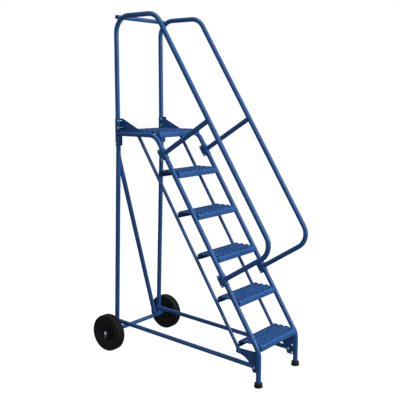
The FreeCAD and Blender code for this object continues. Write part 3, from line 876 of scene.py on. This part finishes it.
def make_tyre(side_name):
    """A solid tyre: grooved tread, square shoulders and a stepped side wall with fine rings."""
    node = side_name + "_tyre"
    low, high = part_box(node)
    crown = (high.z - low.z) / 2
    half = (high.x - low.x) / 2
    hub_low, hub_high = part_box(side_name + "_hub")
    bead = (hub_high.z - hub_low.z) / 2 + FIT_GAP
    foot_of_wall = ((6 * MM, 0.0), (3 * MM, 2.5 * MM), (1.5 * MM, 8 * MM), (2.6 * MM, 9 * MM),
                    (2.6 * MM, 11 * MM), (0.4 * MM, 12.5 * MM))
    side = [(half - depth, bead + out) for depth, out in foot_of_wall]
    ring_start = bead + 14 * MM
    ring_end = crown - 7.5 * MM
    rings = 5
    ring = ((0.0, 0.0), (1.1 * MM, 0.7 * MM), (1.1 * MM, 1.7 * MM), (0.3 * MM, 2.4 * MM))
    for k in range(rings):
        radius = ring_start + (ring_end - ring_start) * k / rings
        wall = half - 0.2 * MM - 1.5 * MM * (k / rings) ** 2
        side += [(wall - depth, radius + out) for depth, out in ring]
    side += [(half - 1.6 * MM, ring_end + 1 * MM), (half - 3.5 * MM, crown - 2.8 * MM),
             (half - 8 * MM, crown - 0.4 * MM)]
    groove = ((2.0 * MM, 0.0), (1.1 * MM, 3.2 * MM), (-1.1 * MM, 3.2 * MM), (-2.0 * MM, 0.0))
    outermost = 14 * MM
    tread = []
    for groove_at in (outermost, outermost / 2, 0.0, -outermost / 2, -outermost):
        surface = crown - 0.3 * MM * (groove_at / outermost) ** 2
        tread += [(groove_at + along, surface - depth) for along, depth in groove]
    outline = side + tread + mirrored(side)
    builder = Builder()
    revolve(builder, rounded(outline, 1.2 * MM, 2), (low + high) / 2, ACROSS, 144)
    builder.show(node + "_rubber", side_name + "_wheel", "tyre_rubber", (node,))


def make_hub(side_name):
    """A moulded wheel centre: rim, dished web, a raised ring and a long boss round the bush."""
    node = side_name + "_hub"
    low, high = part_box(node)
    rim = (high.z - low.z) / 2
    boss_end = (high.x - low.x) / 2
    rim_half, web_half, ring_half = 23 * MM, 8 * MM, 19 * MM
    bore, boss, ring = 12.1 * MM, 22 * MM, 47 * MM
    half = [(boss_end, bore), (boss_end, boss - 4 * MM), (boss_end - 3.5 * MM, boss),
            (web_half + 2 * MM, boss + 1 * MM), (web_half, boss + 5 * MM),
            (web_half, ring - 4 * MM), (ring_half, ring - 2 * MM), (ring_half, ring + 2 * MM),
            (web_half, ring + 4 * MM), (web_half, rim - 26 * MM), (rim_half, rim - 4 * MM),
            (rim_half, rim)]
    builder = Builder()
    revolve(builder, rounded(half + mirrored(half), 1.6 * MM, 3), (low + high) / 2, ACROSS, 120)
    builder.show(node + "_moulding", side_name + "_wheel", "hub_black", (node,))


for side_name in SIDES:
    make_foot(side_name)
    make_tyre(side_name)
    make_hub(side_name)


# ------------------------------------------------------------------ axle
def ring_outline(low_x, high_x, inner, outer, chamfer):
    return [(low_x, inner), (low_x, outer - chamfer), (low_x + chamfer, outer),
            (high_x - chamfer, outer), (high_x, outer - chamfer), (high_x, inner)]


def turned_piece(name, outlines, body, slot, replaced, corner):
    """Rings turned about the axle's line from (x, radius) outlines, as one piece."""
    builder = Builder()
    for outline in outlines:
        revolve(builder, rounded(outline, corner, 3), AXLE, ACROSS, 64)
    builder.show(name, body, slot, (replaced,), TURNED_SHARP)


def make_axle():
    """The shaft, and on each side the wheel's bush with a washer at each end."""
    shaft_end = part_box("axle_shaft")[1].x
    axis_gap, shaft_chamfer = 0.2 * MM, 1.6 * MM
    turned_piece("axle_shaft_turned",
                 [ring_outline(-shaft_end, shaft_end, axis_gap, AXLE_R, shaft_chamfer)],
                 "frame", "zinc_steel", "axle_shaft", 0.3 * MM)
    bore = AXLE_R + BORE_CLEARANCE
    washer_chamfer, bush_chamfer = 0.5 * MM, 1.2 * MM
    washers = []
    outer_washer_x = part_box("axle_washers")[1].x - WASHER_THICKNESS
    for side_name, sign in SIDES.items():
        low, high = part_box(side_name + "_bush")
        turned_piece(side_name + "_bush_moulding",
                     [ring_outline(low.x, high.x, bore, (high.z - low.z) / 2, bush_chamfer)],
                     side_name + "_wheel", "bush_nylon", side_name + "_bush", 0.5 * MM)
        inner_washer_x = abs(low.x + high.x) - outer_washer_x - WASHER_THICKNESS
        for start in (inner_washer_x, outer_washer_x):
            low_x = min(sign * start, sign * (start + WASHER_THICKNESS))
            washers.append(ring_outline(low_x, low_x + WASHER_THICKNESS, bore, WASHER_R,
                                        washer_chamfer))
    turned_piece("axle_washers_rounded", washers, "frame", "zinc_steel", "axle_washers", 0.3 * MM)


def add_wire(builder, line, radius):
    """A round wire along a line of points that lie square to X."""
    loops = []
    for k, point in enumerate(line):
        tangent = (line[min(k + 1, len(line) - 1)] - line[max(k - 1, 0)]).normalized()
        loops.append(builder.circle(point, ACROSS, ACROSS.cross(tangent), radius, 10))
    builder.skin(loops)


def make_split_pins():
    """One bent wire for each pin: a leg up, round the eye and down again, with the tips spread."""
    low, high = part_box("cotter_pins")
    wire, eye, leg_offset, tip_spread = 0.8 * MM, 3.6 * MM, 0.85 * MM, 2.4 * MM
    pin_x = high.x - 2 * wire
    tip_z, eye_z = low.z + wire, high.z - eye - wire
    leg_length = eye_z - eye - tip_z
    shares_up = (0.0, 0.12, 0.3, 0.5, 0.9)
    bent_share = 0.3
    eye_from, eye_turn, eye_steps = -105, -330, 12

    def pin_leg(x, side, shares):
        for t in shares:
            open_by = tip_spread * max(0.0, 1 - t / bent_share) ** 2
            yield Vector((x, AXLE.y + side * (leg_offset + open_by), tip_z + leg_length * t))

    builder = Builder()
    for sign in SIDES.values():
        x = sign * pin_x
        bend = [math.radians(eye_from + eye_turn * k / eye_steps) for k in range(eye_steps + 1)]
        ring = [Vector((x, AXLE.y + eye * math.cos(t), eye_z + eye * math.sin(t))) for t in bend]
        line = [*pin_leg(x, -1, shares_up), *ring, *pin_leg(x, 1, reversed(shares_up))]
        add_wire(builder, line, wire)
    builder.show("cotter_pins_wire", "frame", "zinc_steel", ("cotter_pins",))


make_axle()
make_split_pins()


# ------------------------------------------------------------------ welds in place
def both_beads(builder, runs, closed):
    """Beads along the given runs on the left, and along their mirror image on the right."""
    for run in runs:
        add_bead(builder, run, closed)
        add_bead(builder, [flipped(point) for point in run], closed)


def stitches(start, end, count, length):
    """Short straight runs, evenly spaced between two points."""
    along = (end - start).normalized()
    span = (end - start).length - length
    runs = []
    for k in range(count):
        first = start + along * (span * k / (count - 1))
        runs.append([first, first + along * length])
    return runs


def make_frame_welds():
    """Beads where the tubes of the frame meet."""
    builder = Builder()
    leg_run = (REAR_LEG_FOOT - REAR_LEG_TOP).normalized()
    leg = (REAR_LEG_TOP, leg_run, RAIL_R)
    axle_tube = (AXLE, ACROSS, CROSSWISE_R)
    both_beads(builder, *meeting_runs(REAR_LEG_TOP, leg_run, RAIL_R, *axle_tube))

    base_run = (BASE_REAR - BASE_FRONT).normalized()
    base_middle = (BASE_FRONT + BASE_REAR) / 2
    both_beads(builder, *meeting_runs(base_middle, base_run, CROSSWISE_R, *leg))

    stringer_middle = on_slope(700 * MM, -STRINGER_OFFSET, -STRINGER_X)
    platform_rail = (Vector((-RAIL_X, 0, RAIL_TOP_Z)), BACK, RAIL_R)
    both_beads(builder, *meeting_runs(stringer_middle, SLOPE, STRINGER_R, *platform_rail,
                                      lambda point: point.z < STRINGER_WELD_TOP))

    brace_top = on_rear_leg(BRACE_TOP_Z)
    brace_foot = AXLE + ACROSS * BRACE_FOOT_X
    brace_run = (brace_foot - brace_top).normalized()
    brace_middle = (brace_top + brace_foot) / 2
    for runs, closed in (meeting_runs(brace_middle, -brace_run, RAIL_R, *leg),
                         meeting_runs(brace_middle, brace_run, RAIL_R, *axle_tube)):
        for run in runs:
            add_bead(builder, run, closed)
    builder.show("frame_welds", "frame", "blue_powder_coat")


def make_handrail_welds():
    """Beads at both ends of the struts, and where each handrail comes back to its lower saddle."""
    builder = Builder()
    middle_ahead = HANDRAIL_OFFSET / 2
    for along in (UPPER_SADDLE_AT, LOWER_SADDLE_AT):
        both_beads(builder, *meeting_runs(on_slope(along, middle_ahead), SLOPE_FRONT * -1, RAIL_R,
                                          on_slope(along, 0), SLOPE, STRAP_OUTER))
    both_beads(builder, *meeting_runs(on_slope(UPPER_SADDLE_AT, middle_ahead), SLOPE_FRONT, RAIL_R,
                                      on_slope(UPPER_SADDLE_AT, HANDRAIL_OFFSET), SLOPE,
                                      RAIL_R + FIT_GAP))
    builder.show("handrail_welds", "frame", "blue_powder_coat")


def make_tread_welds():
    """Short beads where each tread meets the side rails, and round the stringers where they pass."""
    builder = Builder()
    half_weld = BACK * (10 * MM)
    reach, steps = 50, 24
    arc = [math.radians(-reach + 2 * reach * k / steps) for k in range(steps + 1)]
    for number in range(1, 6):
        low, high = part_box("step_" + str(number))
        along = (high.z - LEG_BEND_Z) / math.sin(STAIR_ANGLE)
        rail_at = on_slope(along, 0, low.x)
        both_beads(builder, [[rail_at - half_weld, rail_at + half_weld]], False)
        stringer_at = on_slope(along + STRINGER_OFFSET / math.tan(STAIR_ANGLE), -STRINGER_OFFSET,
                               -STRINGER_X)
        run = [stringer_at + ACROSS * (STRINGER_R * math.cos(t))
               + BACK * (STRINGER_R * math.sin(t) / math.sin(STAIR_ANGLE)) for t in arc]
        both_beads(builder, [run], False)

    low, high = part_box("platform_tread")
    along = (high.z - LEG_BEND_Z) / math.sin(STAIR_ANGLE)
    weld_z = high.z - 9 * MM
    start = Vector((low.x, on_slope(along, 0).y + 30 * MM, weld_z))
    end = Vector((low.x, UPRIGHT_Y - STRAP_EAR - 10 * MM, weld_z))
    both_beads(builder, stitches(start, end, 5, 26 * MM), False)
    builder.show("tread_welds", "frame", "blue_powder_coat")


def make_gusset_welds():
    """Stitches along the front gussets' front edges and along the feet of the platform gussets."""
    builder = Builder()
    low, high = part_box("left_front_gusset")
    edge_y = low.y + 1.2 * MM
    end_gap = UP * (6 * MM)
    both_beads(builder, stitches(Vector((high.x, edge_y, low.z)) + end_gap,
                                 Vector((high.x, edge_y, high.z)) - end_gap, 3, 24 * MM), False)
    low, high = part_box("left_platform_gusset")
    front_gap, rear_gap = 8 * MM, 4 * MM
    for x in (low.x, high.x):
        both_beads(builder, stitches(Vector((x, low.y + front_gap, low.z)),
                                     Vector((x, high.y - rear_gap, low.z)), 4, 22 * MM), False)
    builder.show("gusset_welds", "frame", "blue_powder_coat")


make_frame_welds()
make_handrail_welds()
make_tread_welds()
make_gusset_welds()


# ------------------------------------------------------------------ floor, light and camera
def lay_floor():
    """A wide pale floor just under the ladder, which adds no light of its own to the object."""
    material, _, shader = node_material("pale_floor")
    shader.inputs["Base Color"].default_value = (0.13, 0.13, 0.13, 1)
    shader.inputs["Roughness"].default_value = 0.9
    shader.inputs["Specular IOR Level"].default_value = 0.0
    shader.inputs["Emission Color"].default_value = (1.0, 1.0, 1.0, 1)
    shader.inputs["Emission Strength"].default_value = 0.96
    reach, level = 60.0, -0.3 * MM
    corners = [(-reach, -reach, level), (reach, -reach, level), (reach, reach, level),
               (-reach, reach, level)]
    mesh = bpy.data.meshes.new("floor")
    mesh.from_pydata(corners, [], [(0, 1, 2, 3)])
    mesh.materials.append(material)
    floor = bpy.data.objects.new("floor", mesh)
    floor.visible_diffuse = False
    floor.visible_glossy = False
    bpy.context.scene.collection.objects.link(floor)


def studio_world():
    """White behind the object, and a dim room round it that brightens towards the ceiling."""
    low_wall, ceiling, white = (0.22, 0.22, 0.22), (0.42, 0.42, 0.42), (1.0, 1.0, 1.0, 1.0)
    world = bpy.data.worlds.new("studio")
    world.use_nodes = True
    tree = world.node_tree
    room = tree.nodes["Background"]
    direction = tree.nodes.new("ShaderNodeTexCoord")
    split = tree.nodes.new("ShaderNodeSeparateXYZ")
    tree.links.new(direction.outputs["Generated"], split.inputs["Vector"])
    height = ramp(tree, split.outputs["Z"], 0.05, 1.0)
    tree.links.new(mix(tree, height, low_wall, ceiling), room.inputs["Color"])
    backdrop = tree.nodes.new("ShaderNodeBackground")
    backdrop.inputs["Color"].default_value = white
    chooser = tree.nodes.new("ShaderNodeMixShader")
    rays = tree.nodes.new("ShaderNodeLightPath")
    tree.links.new(rays.outputs["Is Camera Ray"], chooser.inputs["Fac"])
    tree.links.new(room.outputs["Background"], chooser.inputs[1])
    tree.links.new(backdrop.outputs["Background"], chooser.inputs[2])
    tree.links.new(chooser.outputs["Shader"], tree.nodes["World Output"].inputs["Surface"])
    bpy.context.scene.world = world


def softbox(name, location, target, width, height, power):
    """A rectangular lamp, in metres and watts, that faces a target point."""
    lamp = bpy.data.lights.new(name, "AREA")
    lamp.shape = "RECTANGLE"
    lamp.size = width
    lamp.size_y = height
    lamp.energy = power
    made = bpy.data.objects.new(name, lamp)
    made.location = location
    made.rotation_euler = (Vector(target) - Vector(location)).to_track_quat("-Z", "Y").to_euler()
    bpy.context.scene.collection.objects.link(made)
    return made


def place_camera():
    """The photograph's viewpoint: a tilt below the horizon and a turn from the Y axis."""
    tilt, turn = 8.518, 52.935
    lens = bpy.data.cameras.new("camera")
    lens.lens = 64.1
    lens.sensor_width = 36.0
    lens.clip_end = 200.0
    camera = bpy.data.objects.new("camera", lens)
    camera.location = (-3.7442, -2.8283, 1.7771)
    camera.rotation_euler = (math.radians(90 - tilt), 0, math.radians(-turn))
    bpy.context.scene.collection.objects.link(camera)
    bpy.context.scene.camera = camera


lay_floor()
studio_world()
softbox("overhead", (0.4, -0.6, 9.0), (0, 0, 0.9), 4.0, 4.0, 360)
softbox("front_left", (-3.2, -5.0, 4.8), (0, 0, 1.0), 2.4, 2.4, 150)
softbox("front_right", (2.6, -5.6, 3.4), (0, 0, 0.9), 2.4, 2.4, 360)
rear_lamp = softbox("backdrop", (4.6, 3.5, 2.0), (0, 0, 0.6), 7.0, 2.6, 45)
rear_lamp.visible_camera = False
place_camera()
bpy.context.scene.view_settings.view_transform = "Standard"
